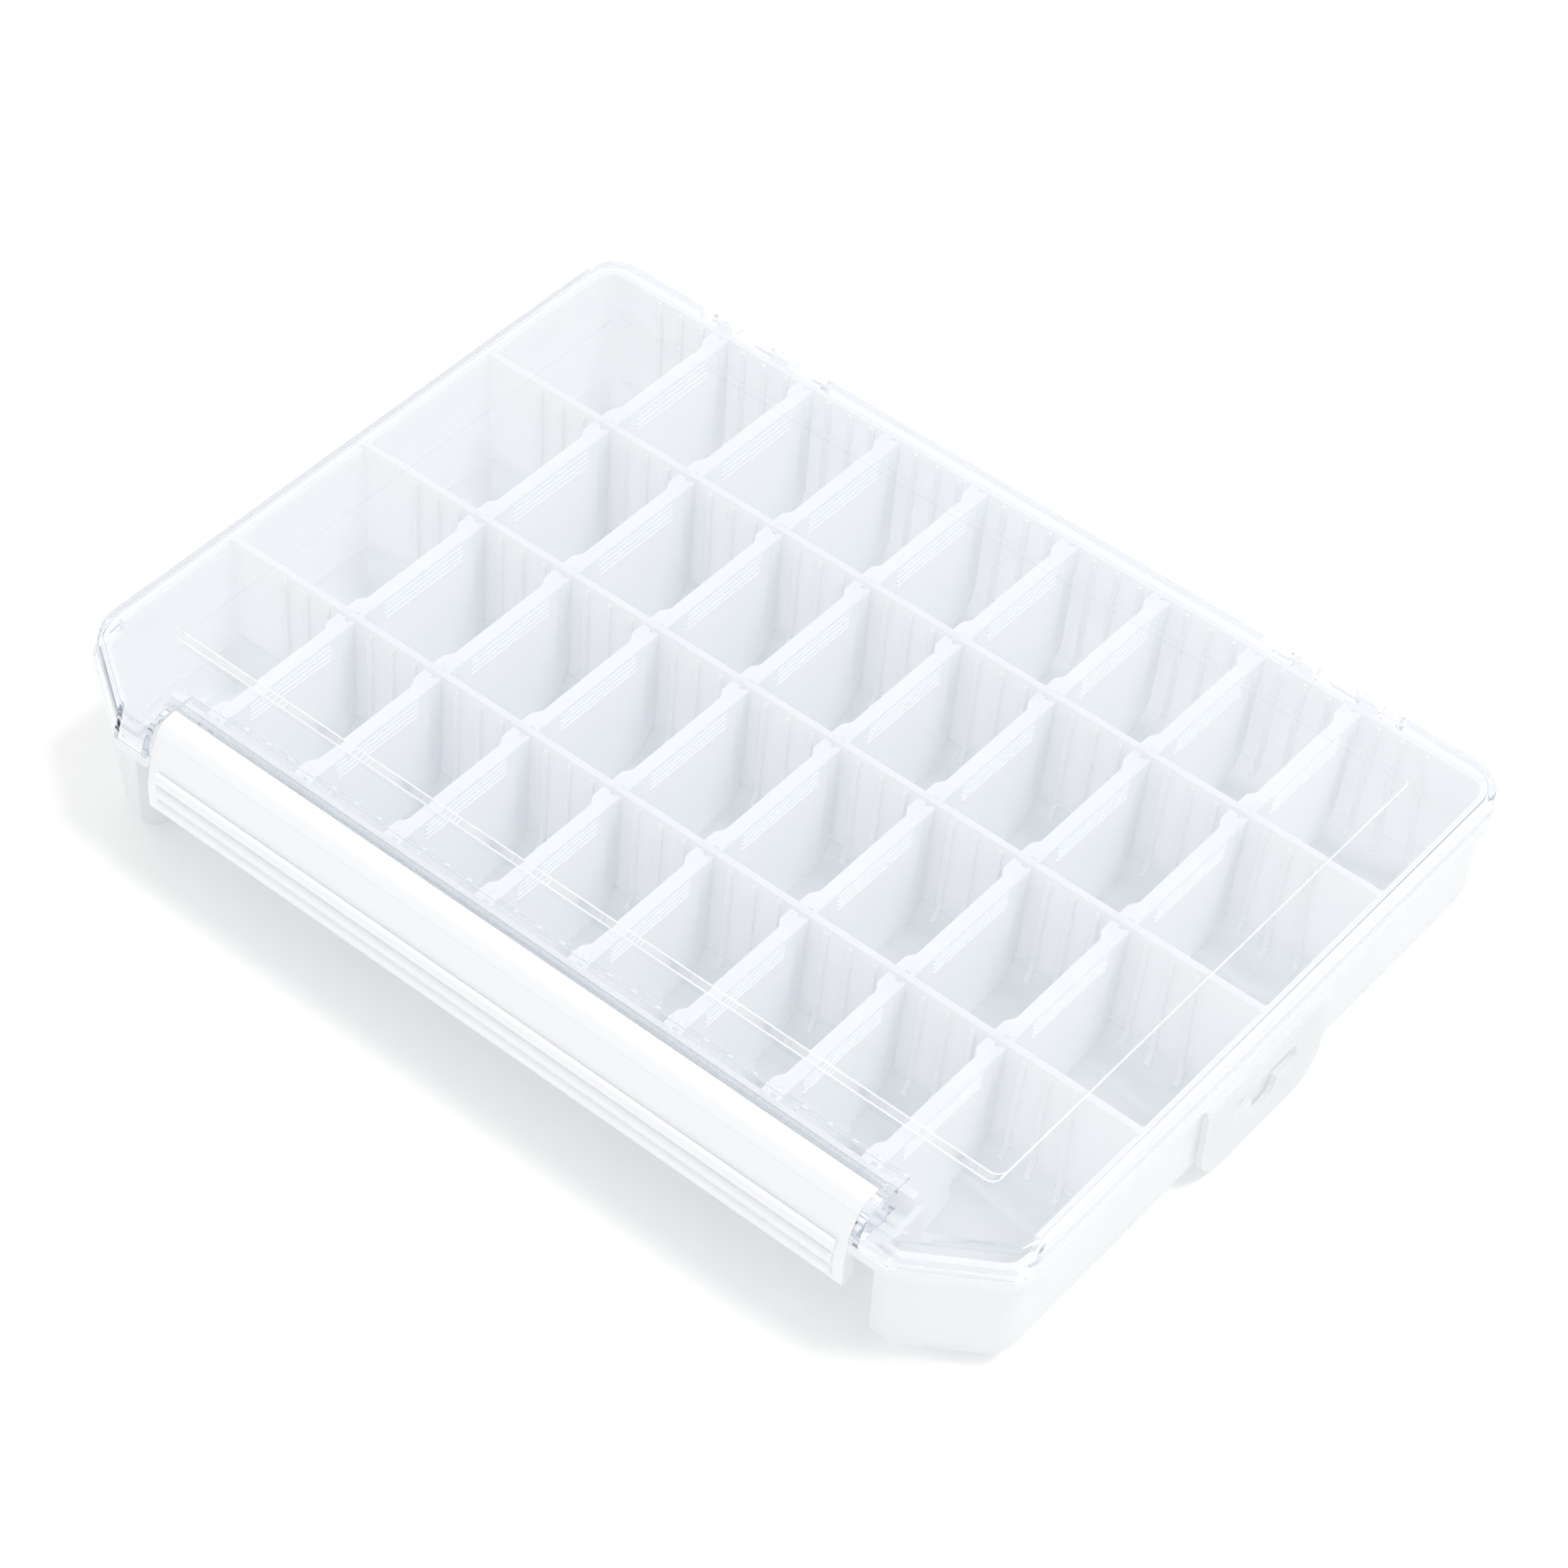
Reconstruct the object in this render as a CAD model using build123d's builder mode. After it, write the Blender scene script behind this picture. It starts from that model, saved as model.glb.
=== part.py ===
from build123d import *
import math
import os

# Fly box: a clear hinged lid with a latch along its front, over a tray of four troughs that lift-out
# dividers split into compartments, with a fold-out hang tab on its right side. Millimetres, +Z up.
# X runs along the box, and Y from the latch (-) to the hinge (+). The origin is on the surface that the
# box rests on, under the middle of the box.
os.makedirs("parts", exist_ok=True)

# Plan of the box at the lid's rim
HALF_LENGTH = 127.5
REAR_Y = 91.0
FRONT_Y = -94.0
CHAMFER_X = 22.5                # each front corner is cut back this far along X
CHAMFER_Y = 14.9                # and this far along Y
REAR_CORNER_R = 9.0
FRONT_CORNER_R = 2.5
CUT_CORNER_R = 8.0

# Tray: troughs
ROWS = 4
ROW_PITCH = 41.8
ROWS_MID_Y = 3.8
PARTITION = 1.6
ROW_OVERLAP = 0.05              # neighbouring troughs run into each other by this much
OUTER_BOTTOM_R = 9.5
INNER_BOTTOM_R = 8.5
FLOOR = 1.2
FRONT_WALL_Y = -80.9            # outside of the front wall, behind the latch
REAR_WALL_Y = 88.0
OUTER_INSET = 2.1               # trough ends, in from the lid's rim
INNER_INSET = 3.8
CORNER_POD_X = 101.0            # outboard of this the front row reaches forward beside the latch
CORNER_POD_WALL = 1.4
POD_OUTER_Y = -91.9
POD_INNER_Y = -89.4

# Tray: ledge under the lid's rim, and the upstand inside the lid
LEDGE_BOTTOM = 28.4
LEDGE_TOP = 31.0
LEDGE_INSET = 0.2
LEDGE_FRONT_Y = -86.6           # the latch hooks under this edge
UPSTAND_INSET = 2.3
UPSTAND_TOP = 36.2
POD_UPSTAND_Y = -90.6
POD_TOP = 33.0
POD_REAR_Y = -72.0
PARTITION_TOP = 36.9

# Tray: ribs that locate the dividers
RIB_PITCH = 25.47 / 4
RIB_COUNT = 35
RIB_MID_X = 0.5
RIB_WIDTH = 1.2
RIB_DEPTH = 0.9
RIB_BOTTOM = 10.0               # just above the trough's bottom radius
RIB_TOP = 36.0

# Dividers
DIVIDERS_PER_ROW = 8
RIBS_PER_DIVIDER = 4
DIVIDER_TOP = 36.0
DIVIDER_CLEARANCE = 0.15
FRAME_HALF_WIDTH = 1.65         # along X, enough to straddle a rib
DIVIDER_WEB = 0.9               # thickness of the plate, flush with the right of its frame
END_BAND_DEPTH = 3.6            # along Y
TOP_RIM_DEPTH = 1.6             # along Z
EAR_REACH = 3.0                 # the rim flares out to the left at both ends
EAR_LENGTH = 3.3
EAR_TAPER = 2.8
CORNER_FLATS = 3                # each bottom corner is this many flats, inside the trough's radius

# Lid
LID_BOTTOM = 31.2
RIM_TOP = 33.2                  # the rim band stands proud of the wall above it
RIM_STEP = 0.25
LID_TOP = 39.4
PANEL_TOP = 40.0
LID_WALL = 2.0
LID_CEILING = 37.4
LID_EDGE_BEVEL = 0.8
FRONT_SLOPE = 3.25              # the front leans back by this much above the rim band
CHAMFER_SLOPE = 2.2
PANEL_HALF_LENGTH = 111.6
PANEL_FRONT_Y = -67.4
PANEL_REAR_Y = 75.4
PANEL_CORNER_R = 2.5

# Lid: the bay that the latch lies in
BAY_HALF_LENGTH = 95.7
CHEEK = 1.8
BAY_STEP_Y = -79.4
BAY_SHELF_TOP = 38.2
BAY_SHELF = 1.6
BAY_WALL_Y = -83.1              # outside of the wall behind the latch

# Latch
LATCH_HALF_LENGTH = 95.2
LATCH_WALL = 1.6
LATCH_FRONT = (                 # Y, Z down the front, from the lip to the lower edge
    (-84.7, 39.5),
    (-88.7, 39.0),
    (-90.8, 36.3),
    (-92.9, 30.5),
    (-94.2, 24.6),
    (-94.2, 17.3),
)
LATCH_PIVOT = (-86.2, 37.3)     # Y, Z
LATCH_PIN_R = 1.2
PIVOT_CLEARANCE = 0.08
LATCH_PIN_END = 97.3
LATCH_KNUCKLE_R = 2.2
CHEEK_DEPTH = 3.6               # of the latch's end cheeks, at their lower end
CHEEK_SLOPE = 0.2
CHEEK_NECK = (-88.4, 34.4)
HOOK_TOP = 28.15
HOOK_TIP_Y = -84.9
HOOK_THICKNESS = 1.8
HOOK_HALF_LENGTH = 88.0
BEAD_HEIGHTS = (27.8, 23.8, 19.8)
BEAD_R = 1.0
BEAD_FRONT_Y = -95.0
BEAD_HALF_LENGTH = 92.4

# Lid hinge, one set of knuckles near each rear corner
HINGE_AXIS = (91.8, 32.6)       # Y, Z
HINGE_ROD_R = 1.5
HINGE_CLEARANCE = 0.08
KNUCKLE_R = 3.2
KNUCKLE_WEB_ANGLE = 40.0        # where the web runs out on the knuckle, up from +Y
HINGE_START_X = 62.0
HINGE_END_X = 98.0
CLIP_CENTRES_X = (73.6, 90.8)
CLIP_SLOT = 6.0
CLIP_WIDTH = 5.4
CLIP_R = 2.8
CLIP_STEM = 3.6
CLIP_MOUTH_ANGLE = 100.0
CLIP_MOUTH_FACING = 50.0        # degrees up from +Y
CLIP_SLOT_Y = 88.6
HINGE_RELIEF_Y = 88.3
HINGE_RELIEF_GAP = 0.6

# Hang tab, folded down against the right side
TAB_MID_Y = 4.5
TAB_WIDTH = 42.6
TAB_INNER_X = 126.0
TAB_THICKNESS = 1.4
TAB_BOTTOM = 2.0
TAB_CORNER_R = 9.0
FOLD_AXIS = (126.7, 24.7)       # X, Z
FOLD_GAP = 0.2
ROOT_OUTER_X = 127.3
PEG_SLOT_HALF = 11.0
PEG_SLOT_BOTTOM = 14.5
PEG_SLOT_TOP = 19.5
PEG_ROUND_R = 4.5
PEG_ROUND_Z = 13.3
FOLD_LAND = 0.02                # width left on the tab's edge at the fold

RAIL_ROOT = 0.2                 # the rail and the clips' stems run into the wall by this much
CUT = 30.0                      # reach of a cutting block past what it cuts


def box_outline(inset, sharp_front=False):
    """Plan of the box, drawn in from the lid's rim."""
    with BuildSketch() as plan:
        with BuildLine():
            Polyline(
                (-HALF_LENGTH, REAR_Y),
                (HALF_LENGTH, REAR_Y),
                (HALF_LENGTH, FRONT_Y + CHAMFER_Y),
                (HALF_LENGTH - CHAMFER_X, FRONT_Y),
                (CHAMFER_X - HALF_LENGTH, FRONT_Y),
                (-HALF_LENGTH, FRONT_Y + CHAMFER_Y),
                close=True,
            )
        make_face()
        fillet(plan.vertices().sort_by(Axis.Y)[-2:], REAR_CORNER_R)
        if not sharp_front:
            fillet(plan.vertices().sort_by(Axis.Y)[2:4], CUT_CORNER_R)
            fillet(plan.vertices().sort_by(Axis.Y)[:2], FRONT_CORNER_R)
        if inset > 0:
            offset(amount=-inset, kind=Kind.INTERSECTION)
    return plan.sketch


def row_centre(row):
    return ROWS_MID_Y + (row - (ROWS - 1) / 2) * ROW_PITCH


def trough_section(front_y, rear_y, floor_z, bottom_r):
    """Section across one trough, open above."""
    with BuildSketch() as section:
        with Locations(((front_y + rear_y) / 2, (floor_z + PANEL_TOP) / 2)):
            Rectangle(rear_y - front_y, PANEL_TOP - floor_z)
        fillet(section.vertices().group_by(Axis.Y)[0], bottom_r)
    return section.sketch


def trough_block(row_spans, pod_x, pod_y, inset, floor_z, bottom_r):
    """The troughs as one solid: their outside, or the hollow in them."""
    with BuildPart() as block:
        for front_y, rear_y in row_spans:
            with BuildSketch(Plane.YZ):
                add(trough_section(front_y, rear_y, floor_z, bottom_r))
            extrude(amount=HALF_LENGTH, both=True)
        for side in (-1, 1):
            with BuildSketch(Plane.YZ.offset(side * pod_x)):
                add(trough_section(pod_y, row_spans[0][1], floor_z, bottom_r))
            extrude(amount=side * (HALF_LENGTH - pod_x))
        with BuildSketch(Plane.XZ):
            end = HALF_LENGTH - inset
            add(trough_section(-end, end, floor_z, bottom_r))
        extrude(amount=-FRONT_Y + REAR_Y, both=True, mode=Mode.INTERSECT)
        with BuildSketch():
            add(box_outline(inset))
        extrude(amount=PANEL_TOP, mode=Mode.INTERSECT)
    return block.part


def tray_outside():
    edges = [FRONT_WALL_Y]
    edges += [row_centre(row) + ROW_PITCH / 2 for row in range(ROWS - 1)]
    edges += [REAR_WALL_Y]
    spans = []
    for row in range(ROWS):
        spans.append((edges[row] - ROW_OVERLAP * (row > 0), edges[row + 1] + ROW_OVERLAP * (row < ROWS - 1)))
    return trough_block(spans, CORNER_POD_X, POD_OUTER_Y, OUTER_INSET, 0, OUTER_BOTTOM_R)


def rib_row(half_reach):
    """Elevation of the ribs along one face, out to half_reach either side of the box's middle."""
    rib_xs = [RIB_MID_X + (index - (RIB_COUNT - 1) / 2) * RIB_PITCH for index in range(RIB_COUNT)]
    with BuildSketch() as ribs:
        with Locations([(x, (RIB_BOTTOM + RIB_TOP) / 2) for x in rib_xs if abs(x) < half_reach]):
            Rectangle(RIB_WIDTH, RIB_TOP - RIB_BOTTOM)
    return ribs.sketch


def tray_hollow():
    """The hollow in the troughs, notched by the ribs on both sides of each one."""
    half_width = (ROW_PITCH - PARTITION) / 2
    spans = [(row_centre(row) - half_width, row_centre(row) + half_width) for row in range(ROWS)]
    pod_x = CORNER_POD_X + CORNER_POD_WALL
    with BuildPart() as hollow:
        add(trough_block(spans, pod_x, POD_INNER_Y, INNER_INSET, FLOOR, INNER_BOTTOM_R))
        for row in range(ROWS + 1):
            wall_y = row_centre(row) - ROW_PITCH / 2
            with BuildSketch(Plane.XZ.offset(-wall_y)):
                add(rib_row(CORNER_POD_X if row == 0 else HALF_LENGTH))
            extrude(amount=PARTITION / 2 + RIB_DEPTH, both=True, mode=Mode.SUBTRACT)
    return hollow.part


def clip_section():
    """A hinge clip: a ring open towards the rear, on a stem from the tray's rear wall."""
    with BuildSketch() as section:
        with Locations(HINGE_AXIS):
            Circle(CLIP_R)
        with Locations((HINGE_AXIS[0], HINGE_AXIS[1])):
            stem_length = HINGE_AXIS[0] - REAR_WALL_Y + RAIL_ROOT
            Rectangle(stem_length, CLIP_STEM, align=(Align.MAX, Align.CENTER))
        with Locations(HINGE_AXIS):
            Circle(HINGE_ROD_R + HINGE_CLEARANCE, mode=Mode.SUBTRACT)
        with BuildLine():
            reach = CLIP_R * 2
            low = math.radians(CLIP_MOUTH_FACING - CLIP_MOUTH_ANGLE / 2)
            high = math.radians(CLIP_MOUTH_FACING + CLIP_MOUTH_ANGLE / 2)
            axis_y, axis_z = HINGE_AXIS
            Polyline(
                HINGE_AXIS,
                (axis_y + reach * math.cos(low), axis_z + reach * math.sin(low)),
                (axis_y + reach * math.cos(high), axis_z + reach * math.sin(high)),
                close=True,
            )
        make_face(mode=Mode.SUBTRACT)
    return section.sketch


# Tray: troughs, ledge, upstand, partitions, ribs, hinge clips and the root of the hang tab
with BuildPart() as tray:
    add(tray_outside())
    split(bisect_by=Plane.XY.offset(LEDGE_TOP), keep=Keep.BOTTOM)

    # ledge, cut back along the latch and around the hinge
    with BuildSketch(Plane.XY.offset(LEDGE_BOTTOM)):
        add(box_outline(LEDGE_INSET))
        with Locations((0, LEDGE_FRONT_Y)):
            Rectangle(2 * BAY_HALF_LENGTH, CUT, align=(Align.CENTER, Align.MAX), mode=Mode.SUBTRACT)
        for side in (-1, 1):
            with Locations((side * (HINGE_START_X + HINGE_END_X) / 2, HINGE_RELIEF_Y)):
                relief = HINGE_END_X - HINGE_START_X + 2 * HINGE_RELIEF_GAP
                Rectangle(relief, CUT, align=(Align.CENTER, Align.MIN), mode=Mode.SUBTRACT)
    extrude(amount=LEDGE_TOP - LEDGE_BOTTOM)

    # upstand, lower in the front corners where the lid leans back over it
    with BuildSketch(Plane.XY.offset(LEDGE_TOP)):
        add(box_outline(UPSTAND_INSET))
        with Locations((0, REAR_WALL_Y)):
            Rectangle(3 * HALF_LENGTH, CUT, align=(Align.CENTER, Align.MIN), mode=Mode.SUBTRACT)
        with Locations((0, POD_UPSTAND_Y)):
            Rectangle(3 * HALF_LENGTH, CUT, align=(Align.CENTER, Align.MAX), mode=Mode.SUBTRACT)
        with Locations((0, FRONT_WALL_Y)):
            Rectangle(2 * CORNER_POD_X, CUT, align=(Align.CENTER, Align.MAX), mode=Mode.SUBTRACT)
    extrude(amount=UPSTAND_TOP - LEDGE_TOP)
    for side in (-1, 1):
        with Locations((side * (CORNER_POD_X + CUT / 2), POD_REAR_Y, POD_TOP)):
            Box(CUT, CUT, CUT, align=(Align.CENTER, Align.MAX, Align.MIN), mode=Mode.SUBTRACT)
    add(tray_hollow(), mode=Mode.SUBTRACT)

    # partitions stand a little above the upstand
    partition_ys = [row_centre(row) + ROW_PITCH / 2 for row in range(ROWS - 1)]
    with Locations([(0, y, LEDGE_TOP) for y in partition_ys]):
        partition_length = 2 * (HALF_LENGTH - INNER_INSET) + PARTITION
        partition_height = PARTITION_TOP - LEDGE_TOP
        Box(partition_length, PARTITION, partition_height, align=(Align.CENTER, Align.CENTER, Align.MIN))

    # hinge clips
    for side in (-1, 1):
        for clip_x in CLIP_CENTRES_X:
            with BuildSketch(Plane.YZ.offset(side * clip_x - CLIP_WIDTH / 2)):
                add(clip_section())
            extrude(amount=CLIP_WIDTH)

    # rail that the hang tab folds on
    with BuildSketch(Plane.XZ.offset(-TAB_MID_Y - TAB_WIDTH / 2)):
        fold_x, fold_z = FOLD_AXIS
        rail_inner_x = HALF_LENGTH - OUTER_INSET - RAIL_ROOT
        rail_top = LEDGE_BOTTOM + RAIL_ROOT
        with BuildLine():
            Polyline(
                (rail_inner_x, rail_top),
                (ROOT_OUTER_X, rail_top),
                (ROOT_OUTER_X, fold_z + FOLD_GAP + ROOT_OUTER_X - fold_x),
                (fold_x, fold_z + FOLD_GAP),
                (rail_inner_x, fold_z + FOLD_GAP + fold_x - rail_inner_x),
                close=True,
            )
        make_face()
    extrude(amount=TAB_WIDTH)
tray.part.label = "tray"
export_step(tray.part, "parts/tray.step")


# Dividers: a plate that follows the trough, framed at the top and the ends, with a groove at each end that
# slides over a rib
def divider_outline():
    half_width = (ROW_PITCH - PARTITION) / 2 - DIVIDER_CLEARANCE
    corner_r = INNER_BOTTOM_R - DIVIDER_CLEARANCE
    bottom = FLOOR + DIVIDER_CLEARANCE
    corner = []
    for step in range(CORNER_FLATS + 1):
        angle = math.radians(90 * step / CORNER_FLATS)
        corner_y = half_width - corner_r + corner_r * math.sin(angle)
        corner.append((corner_y, bottom + corner_r - corner_r * math.cos(angle)))
    mirrored = [(-y, z) for y, z in reversed(corner)]
    with BuildSketch() as outline:
        with BuildLine():
            Polyline((-half_width, DIVIDER_TOP), *mirrored, *corner, (half_width, DIVIDER_TOP), close=True)
        make_face()
    return outline.sketch


with BuildPart() as divider:
    trough_half_width = (ROW_PITCH - PARTITION) / 2
    rim_half_length = trough_half_width - DIVIDER_CLEARANCE
    with BuildSketch(Plane.YZ.offset(FRAME_HALF_WIDTH - DIVIDER_WEB)):
        add(divider_outline())
    extrude(amount=DIVIDER_WEB)

    # end bands, above the trough's bottom radius
    with BuildSketch(Plane.YZ.offset(-FRAME_HALF_WIDTH)):
        band_height = DIVIDER_TOP - RIB_BOTTOM
        for side in (-1, 1):
            with Locations((side * (rim_half_length - END_BAND_DEPTH / 2), RIB_BOTTOM + band_height / 2)):
                Rectangle(END_BAND_DEPTH, band_height)
    extrude(amount=2 * FRAME_HALF_WIDTH)

    # top rim, flared at both ends
    with BuildSketch(Plane.XY.offset(DIVIDER_TOP - TOP_RIM_DEPTH)):
        ear_y = rim_half_length - EAR_LENGTH
        with BuildLine():
            Polyline(
                (FRAME_HALF_WIDTH, -rim_half_length),
                (FRAME_HALF_WIDTH, rim_half_length),
                (-EAR_REACH, rim_half_length),
                (-EAR_REACH, ear_y),
                (-FRAME_HALF_WIDTH, ear_y - EAR_TAPER),
                (-FRAME_HALF_WIDTH, EAR_TAPER - ear_y),
                (-EAR_REACH, -ear_y),
                (-EAR_REACH, -rim_half_length),
                close=True,
            )
        make_face()
    extrude(amount=TOP_RIM_DEPTH)

    # grooves
    groove_y = trough_half_width - RIB_DEPTH - DIVIDER_CLEARANCE
    groove_depth = rim_half_length - groove_y
    for side in (-1, 1):
        with Locations((0, side * (groove_y + groove_depth / 2), DIVIDER_TOP / 2)):
            Box(RIB_WIDTH + 2 * DIVIDER_CLEARANCE, groove_depth, DIVIDER_TOP, mode=Mode.SUBTRACT)

divider_pitch = RIBS_PER_DIVIDER * RIB_PITCH
for row in range(ROWS):
    for column in range(DIVIDERS_PER_ROW):
        x = RIB_MID_X + (column - (DIVIDERS_PER_ROW - 1) / 2) * divider_pitch
        placed = Pos(x, row_centre(row), 0) * divider.part
        placed.label = f"divider_r{row + 1}_c{column + 1}"
        export_step(placed, f"parts/{placed.label}.step")


# Lid
def lid_volume(inset, top_z):
    """The lid's form, drawn in by inset: upright to the top of the rim, leaning back above it in front."""
    rise = top_z - RIM_TOP
    chamfer_length = math.hypot(CHAMFER_X, CHAMFER_Y)
    out_x = CHAMFER_Y / chamfer_length
    out_y = -CHAMFER_X / chamfer_length
    with BuildPart() as volume:
        with BuildSketch(Plane.XY.offset(RIM_TOP)):
            add(box_outline(inset, sharp_front=True))
        extrude(amount=rise)
        leans = [(Plane((0, FRONT_Y + inset, RIM_TOP), x_dir=(0, -1, 0), z_dir=(-1, 0, 0)), FRONT_SLOPE)]
        for side in (-1, 1):
            corner = (side * (HALF_LENGTH - CHAMFER_X - inset * out_x), FRONT_Y - inset * out_y, RIM_TOP)
            across = Plane(corner, x_dir=(side * out_x, out_y, 0), z_dir=(out_y, -side * out_x, 0))
            leans.append((across, CHAMFER_SLOPE))
        for plane, slope in leans:
            with BuildSketch(plane):
                with BuildLine():
                    lean = slope * rise / (LID_TOP - RIM_TOP)
                    Polyline((0, 0), (CUT, 0), (CUT, 2 * rise), (-2 * lean, 2 * rise), close=True)
                make_face()
            extrude(amount=2 * HALF_LENGTH, both=True, mode=Mode.SUBTRACT)

        # round the leaning corners, the wide ones at the sides first
        for lowest, corner_r in ((2, CUT_CORNER_R), (0, FRONT_CORNER_R)):
            upright = volume.edges().filter_by(lambda edge: edge.bounding_box().size.Z > rise / 2)
            leaning = upright.filter_by(lambda edge: edge.center().Y < 0).sort_by(Axis.Y)
            fillet(leaning[lowest : lowest + 2], corner_r - inset)

        # the upright rim, straight down from there
        extrude(volume.faces().sort_by(Axis.Z)[0], amount=RIM_TOP - LID_BOTTOM)
    return volume.part


def knuckle_section():
    """A hinge knuckle, with the web that joins it to the lid's rear wall."""
    axis_y, axis_z = HINGE_AXIS
    web_angle = math.radians(KNUCKLE_WEB_ANGLE)
    with BuildSketch() as section:
        with Locations(HINGE_AXIS):
            Circle(KNUCKLE_R)
        with BuildLine():
            Polyline(
                HINGE_AXIS,
                (REAR_Y - LID_WALL / 2, LID_BOTTOM),
                (REAR_Y - LID_WALL / 2, LID_CEILING),
                (REAR_Y, LID_CEILING),
                (axis_y + KNUCKLE_R * math.cos(web_angle), axis_z + KNUCKLE_R * math.sin(web_angle)),
                close=True,
            )
        make_face()
    return section.sketch


with BuildPart() as lid_outside:
    add(lid_volume(RIM_STEP, LID_TOP))
    chamfer(lid_outside.faces().sort_by(Axis.Z)[-1].edges(), LID_EDGE_BEVEL)

with BuildPart() as lid_hollow:
    add(lid_volume(LID_WALL, LID_CEILING))
    reach = BAY_HALF_LENGTH + CHEEK
    with Locations((0, BAY_WALL_Y + BAY_SHELF, 0)):
        Box(2 * reach, CUT, PANEL_TOP, align=(Align.CENTER, Align.MAX, Align.MIN), mode=Mode.SUBTRACT)
    with Locations((0, BAY_STEP_Y + BAY_SHELF, BAY_SHELF_TOP - BAY_SHELF)):
        Box(2 * reach, CUT, CUT, align=(Align.CENTER, Align.MAX, Align.MIN), mode=Mode.SUBTRACT)

with BuildPart() as lid:
    add(lid_outside.part)
    with BuildSketch(Plane.XY.offset(LID_BOTTOM)):
        add(box_outline(0))
    extrude(amount=RIM_TOP - LID_BOTTOM)

    # raised panel
    with BuildSketch(Plane.XY.offset(LID_TOP)):
        with Locations((0, (PANEL_FRONT_Y + PANEL_REAR_Y) / 2)):
            RectangleRounded(2 * PANEL_HALF_LENGTH, PANEL_REAR_Y - PANEL_FRONT_Y, PANEL_CORNER_R)
    extrude(amount=PANEL_TOP - LID_TOP)

    # latch bay: open in front of its wall, with a shelf below the lid's top
    bay_align = (Align.CENTER, Align.MAX, Align.MIN)
    with Locations((0, BAY_WALL_Y, 0)):
        Box(2 * BAY_HALF_LENGTH, CUT, PANEL_TOP, align=bay_align, mode=Mode.SUBTRACT)
    with Locations((0, BAY_STEP_Y, BAY_SHELF_TOP)):
        Box(2 * BAY_HALF_LENGTH, CUT, CUT, align=bay_align, mode=Mode.SUBTRACT)
    add(lid_hollow.part, mode=Mode.SUBTRACT)
    with Locations(Location((0, LATCH_PIVOT[0], LATCH_PIVOT[1]), (0, 90, 0))):
        hole_span = 2 * (BAY_HALF_LENGTH + CHEEK)
        Cylinder(LATCH_PIN_R + PIVOT_CLEARANCE, hole_span, mode=Mode.SUBTRACT)

    # hinge: slots for the tray's clips, knuckles beside them and a rod through
    slot_align = (Align.CENTER, Align.MIN, Align.MIN)
    for side in (-1, 1):
        for clip_x in CLIP_CENTRES_X:
            with Locations((side * clip_x, CLIP_SLOT_Y, 0)):
                Box(CLIP_SLOT, CUT, PANEL_TOP, align=slot_align, mode=Mode.SUBTRACT)
        ends = [HINGE_START_X]
        for clip_x in CLIP_CENTRES_X:
            ends += [clip_x - CLIP_SLOT / 2, clip_x + CLIP_SLOT / 2]
        ends += [HINGE_END_X]
        for start, end in zip(ends[::2], ends[1::2]):
            with BuildSketch(Plane.YZ.offset(side * start)):
                add(knuckle_section())
            extrude(amount=side * (end - start))
        with BuildSketch(Plane.YZ.offset(side * HINGE_START_X)):
            with Locations(HINGE_AXIS):
                Circle(HINGE_ROD_R)
        extrude(amount=side * (HINGE_END_X - HINGE_START_X))
lid.part.label = "lid"
export_step(lid.part, "parts/lid.step")


# Latch: a long cover that swings on a pin at each end and hooks under the tray's ledge
with BuildPart() as latch:
    face_y = LATCH_FRONT[-1][0]

    # skin
    with BuildSketch(Plane.YZ):
        with BuildLine():
            Polyline(*LATCH_FRONT)
            offset(amount=LATCH_WALL, side=Side.LEFT)
        make_face()
    extrude(amount=LATCH_HALF_LENGTH, both=True)

    # end cheeks, carrying the pivot pins
    for side in (-1, 1):
        with BuildSketch(Plane.YZ.offset(side * (LATCH_HALF_LENGTH - LATCH_WALL))):
            with BuildLine():
                Polyline(
                    *LATCH_FRONT,
                    (face_y + CHEEK_DEPTH, LATCH_FRONT[-1][1]),
                    (face_y + CHEEK_DEPTH + CHEEK_SLOPE, HOOK_TOP),
                    CHEEK_NECK,
                    (LATCH_PIVOT[0], LATCH_PIVOT[1] - LATCH_KNUCKLE_R),
                    close=True,
                )
            make_face()
            with Locations(LATCH_PIVOT):
                Circle(LATCH_KNUCKLE_R)
        extrude(amount=side * LATCH_WALL)
        with BuildSketch(Plane.YZ.offset(side * (LATCH_HALF_LENGTH - LATCH_WALL))):
            with Locations(LATCH_PIVOT):
                Circle(LATCH_PIN_R)
        extrude(amount=side * (LATCH_PIN_END - LATCH_HALF_LENGTH + LATCH_WALL))

    # hook along the inside
    with BuildSketch(Plane.YZ):
        hook_bottom = HOOK_TOP - HOOK_THICKNESS
        root_y = face_y + LATCH_WALL
        with BuildLine():
            Polyline(
                (root_y, HOOK_TOP),
                (HOOK_TIP_Y, HOOK_TOP),
                (HOOK_TIP_Y, HOOK_TOP - HOOK_THICKNESS / 2),
                (HOOK_TIP_Y - HOOK_THICKNESS, hook_bottom),
                (root_y, hook_bottom),
                close=True,
            )
        make_face()
    extrude(amount=HOOK_HALF_LENGTH, both=True)

    # grip beads along the outside
    with BuildSketch(Plane.YZ):
        with Locations([(BEAD_FRONT_Y + BEAD_R, height) for height in BEAD_HEIGHTS]):
            Circle(BEAD_R)
    extrude(amount=BEAD_HALF_LENGTH, both=True)
latch.part.label = "latch"
export_step(latch.part, "parts/latch.step")


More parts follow.
